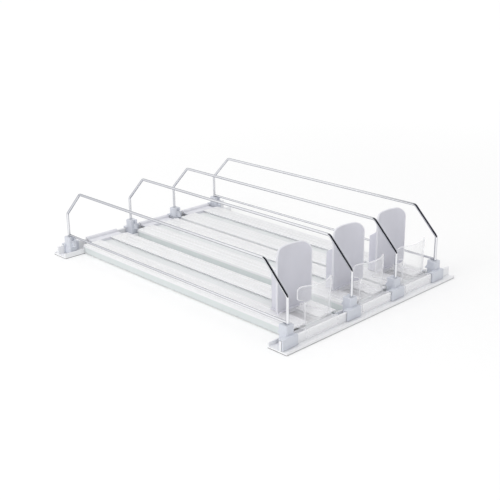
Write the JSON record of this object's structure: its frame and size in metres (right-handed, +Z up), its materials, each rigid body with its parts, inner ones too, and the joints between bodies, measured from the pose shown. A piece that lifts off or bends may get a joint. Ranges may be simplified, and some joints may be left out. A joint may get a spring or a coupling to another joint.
{
  "type": "spring-fed fridge can organizer",
  "caption": "Shelf organizer for drink cans: ribbed lanes with clear front stops and spring pushers on two rails, parted by sliding wire dividers.",
  "frame": {"origin": "middle of the footprint, on the shelf's surface", "axes": "+X to the right along the rails, +Y from the front stops to the rear, +Z up"},
  "size_m": [0.2644, 0.381, 0.0805],
  "materials": {
    "rail": "satin extruded plastic, pale cool grey",
    "track_plastic": "satin extruded plastic, white",
    "clear_plastic": "clear, polished",
    "pusher_plastic": "fine satin, light cool grey",
    "clip_plastic": "satin, light cool grey",
    "spring_steel": "bright rolled strip",
    "chrome_wire": "bright plated"
  },
  "bodies": {
    "rails": {"front_rail": "rail", "rear_rail": "rail"},
    "lane_1": {"track_1": "track_plastic", "front_stop_1": "clear_plastic", "rear_cap_1": "clip_plastic"},
    "pusher_1": {"pusher_1": "pusher_plastic", "coil_spring_1": "spring_steel"},
    "lane_2": {"track_2": "track_plastic", "front_stop_2": "clear_plastic", "rear_cap_2": "clip_plastic"},
    "pusher_2": {"pusher_2": "pusher_plastic", "coil_spring_2": "spring_steel"},
    "lane_3": {"track_3": "track_plastic", "front_stop_3": "clear_plastic", "rear_cap_3": "clip_plastic"},
    "pusher_3": {"pusher_3": "pusher_plastic", "coil_spring_3": "spring_steel"},
    "divider_1": {"divider_wire_1": "chrome_wire", "front_clip_1": "clip_plastic", "rear_clip_1": "clip_plastic"},
    "divider_2": {"divider_wire_2": "chrome_wire", "front_clip_2": "clip_plastic", "rear_clip_2": "clip_plastic"},
    "divider_3": {"divider_wire_3": "chrome_wire", "front_clip_3": "clip_plastic", "rear_clip_3": "clip_plastic"},
    "divider_4": {"divider_wire_4": "chrome_wire", "front_clip_4": "clip_plastic", "rear_clip_4": "clip_plastic"}
  },
  "joints": [
    {"name": "lane_1_slide", "type": "slide", "parent": "rails", "child": "lane_1", "axis": [1, 0, 0], "range_m": [-0.0064, 0.0064]},
    {"name": "pusher_1_slide", "type": "slide", "parent": "lane_1", "child": "pusher_1", "axis": [0, 1, 0], "range_m": [0, 0.2925], "stiffness_N_per_m": 4, "springref_m": -0.9, "deforming": ["coil_spring_1"]},
    {"name": "lane_2_slide", "type": "slide", "parent": "rails", "child": "lane_2", "axis": [1, 0, 0], "range_m": [-0.0013, 0.0013]},
    {"name": "pusher_2_slide", "type": "slide", "parent": "lane_2", "child": "pusher_2", "axis": [0, 1, 0], "range_m": [0, 0.2925], "stiffness_N_per_m": 4, "springref_m": -0.9, "deforming": ["coil_spring_2"]},
    {"name": "lane_3_slide", "type": "slide", "parent": "rails", "child": "lane_3", "axis": [1, 0, 0], "range_m": [-0.0013, 0.0013]},
    {"name": "pusher_3_slide", "type": "slide", "parent": "lane_3", "child": "pusher_3", "axis": [0, 1, 0], "range_m": [0, 0.2925], "stiffness_N_per_m": 4, "springref_m": -0.9, "deforming": ["coil_spring_3"]},
    {"name": "divider_1_slide", "type": "slide", "parent": "rails", "child": "divider_1", "axis": [1, 0, 0], "range_m": [-0.001, 0.0064]},
    {"name": "divider_2_slide", "type": "slide", "parent": "rails", "child": "divider_2", "axis": [1, 0, 0], "range_m": [-0.0064, 0.0013]},
    {"name": "divider_3_slide", "type": "slide", "parent": "rails", "child": "divider_3", "axis": [1, 0, 0], "range_m": [-0.0013, 0.0013]},
    {"name": "divider_4_slide", "type": "slide", "parent": "rails", "child": "divider_4", "axis": [1, 0, 0], "range_m": [-0.0013, 0.01]}
  ]
}
